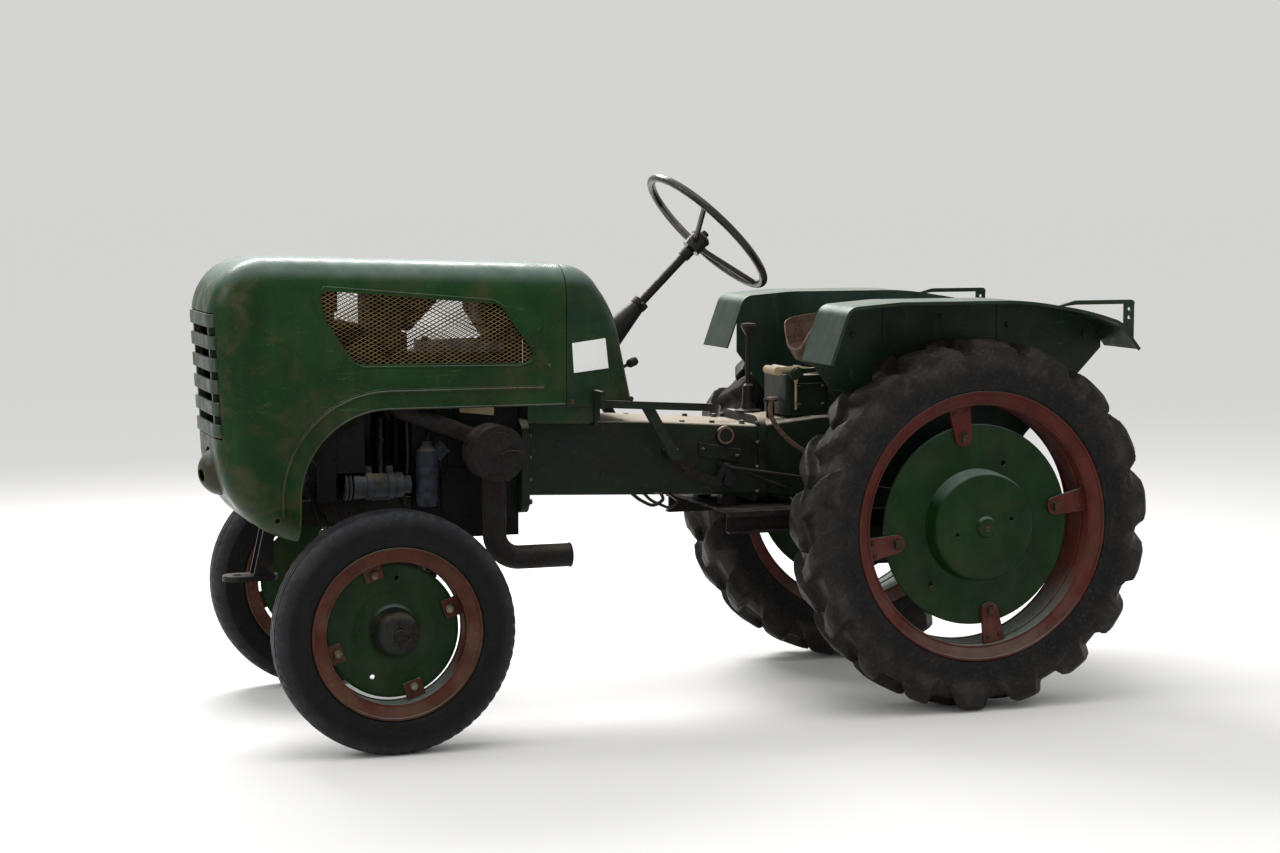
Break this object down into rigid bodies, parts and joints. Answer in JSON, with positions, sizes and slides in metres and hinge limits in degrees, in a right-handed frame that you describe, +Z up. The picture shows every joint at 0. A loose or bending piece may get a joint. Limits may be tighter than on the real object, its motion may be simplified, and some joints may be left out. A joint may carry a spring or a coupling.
{
  "type": "small narrow-track farm tractor",
  "caption": "Small old farm tractor with a tilting hood, open driver's seat, lugged rear tyres and steered front axle.",
  "frame": {"origin": "on the ground, midway along, across and under the whole tractor", "axes": "+X forward, +Y to the driver's left, +Z up"},
  "size_m": [2.593, 1.092, 1.4861],
  "materials": {
    "body_paint": "faded green enamel with scratches and rust",
    "nose_paint": "faded grey-green enamel",
    "rim_paint": "dull red enamel with rust",
    "casting": "oily dark casting with dust",
    "dark_steel": "black painted steel, worn",
    "rusty_steel": "rusted steel",
    "tyre": "old dusty rubber",
    "mesh": "rusty expanded metal",
    "dome_paint": "dark enamel, chipped to a yellow primer and rust"
  },
  "bodies": {
    "chassis": {"cowl": "body_paint", "gearbox": "casting", "axle_housing_left": "casting", "axle_housing_right": "casting", "engine": "casting", "fan_drive": "dark_steel", "front_frame": "casting", "axle_beam": "casting", "tow_jaw": "casting", "radiator": "dark_steel", "dynamo": "rusty_steel", "exhaust": "rusty_steel", "fender_left": "body_paint", "fender_right": "body_paint", "grab_handles": "body_paint", "seat_spring": "dark_steel", "seat_pan": "rusty_steel", "lift_housing": "casting", "shift_levers": "dark_steel", "pedals": "dark_steel", "brake_rods": "dark_steel", "tool_frame": "dark_steel", "drawbar": "dark_steel", "pto_shaft": "rusty_steel", "steering_gear": "casting", "steering_column": "dark_steel"},
    "hood": {"hood": "body_paint", "grille": "nose_paint", "hood_mesh": "mesh", "nose_dome": "dome_paint"},
    "knuckle_left": {"knuckle_left": "casting"},
    "front_wheel_left": {"front_tyre_left": "tyre", "front_rim_left": "rim_paint", "front_disc_left": "body_paint"},
    "rear_wheel_left": {"rear_tyre_left": "tyre", "rear_rim_left": "rim_paint", "rear_disc_left": "body_paint"},
    "knuckle_right": {"knuckle_right": "casting"},
    "front_wheel_right": {"front_tyre_right": "tyre", "front_rim_right": "rim_paint", "front_disc_right": "body_paint"},
    "rear_wheel_right": {"rear_tyre_right": "tyre", "rear_rim_right": "rim_paint", "rear_disc_right": "body_paint"},
    "tie_rod": {"tie_rod": "dark_steel"},
    "drop_arm": {"drop_arm": "dark_steel"},
    "steering_wheel": {"steering_wheel": "dark_steel"}
  },
  "joints": [
    {"name": "hood_tilt", "type": "hinge", "parent": "chassis", "child": "hood", "pos_m": [1.1205, 0, 0.575], "axis": [0, 1, 0], "range_deg": [0, 60]},
    {"name": "steer_left", "type": "hinge", "parent": "chassis", "child": "knuckle_left", "pos_m": [0.8765, 0.385, 0.398], "axis": [0, 0, 1], "range_deg": [-35, 35]},
    {"name": "steer_right", "type": "hinge", "parent": "chassis", "child": "knuckle_right", "pos_m": [0.8765, -0.385, 0.398], "axis": [0, 0, 1], "range_deg": [-35, 35]},
    {"name": "tie_rod_pivot", "type": "hinge", "parent": "knuckle_left", "child": "tie_rod", "pos_m": [0.7565, 0.385, 0.462], "axis": [0, 0, 1], "range_deg": [-35, 35]},
    {"name": "drop_arm_pivot", "type": "hinge", "parent": "chassis", "child": "drop_arm", "pos_m": [0.8765, -0.16, 0.485], "axis": [0, 0, 1], "range_deg": [-35, 35]},
    {"name": "steering_wheel_turn", "type": "hinge", "parent": "chassis", "child": "steering_wheel", "pos_m": [-0.1555, 0, 1.324], "axis": [-0.7071, 0, 0.7071], "range_deg": [-420, 420]},
    {"name": "front_wheel_left_spin", "type": "hinge", "parent": "knuckle_left", "child": "front_wheel_left", "pos_m": [0.8765, 0.48, 0.315], "axis": [0, 1, 0], "continuous": true},
    {"name": "rear_wheel_left_spin", "type": "hinge", "parent": "chassis", "child": "rear_wheel_left", "pos_m": [-0.7795, 0.43, 0.517], "axis": [0, 1, 0], "continuous": true},
    {"name": "front_wheel_right_spin", "type": "hinge", "parent": "knuckle_right", "child": "front_wheel_right", "pos_m": [0.8765, -0.48, 0.315], "axis": [0, 1, 0], "continuous": true},
    {"name": "rear_wheel_right_spin", "type": "hinge", "parent": "chassis", "child": "rear_wheel_right", "pos_m": [-0.7795, -0.43, 0.517], "axis": [0, 1, 0], "continuous": true}
  ],
  "couplings": [
    {"joint": "steer_right", "follows": "steer_left", "ratio": 1},
    {"joint": "tie_rod_pivot", "follows": "steer_left", "ratio": -1},
    {"joint": "drop_arm_pivot", "follows": "steer_left", "ratio": 1},
    {"joint": "steering_wheel_turn", "follows": "steer_left", "ratio": 12}
  ]
}
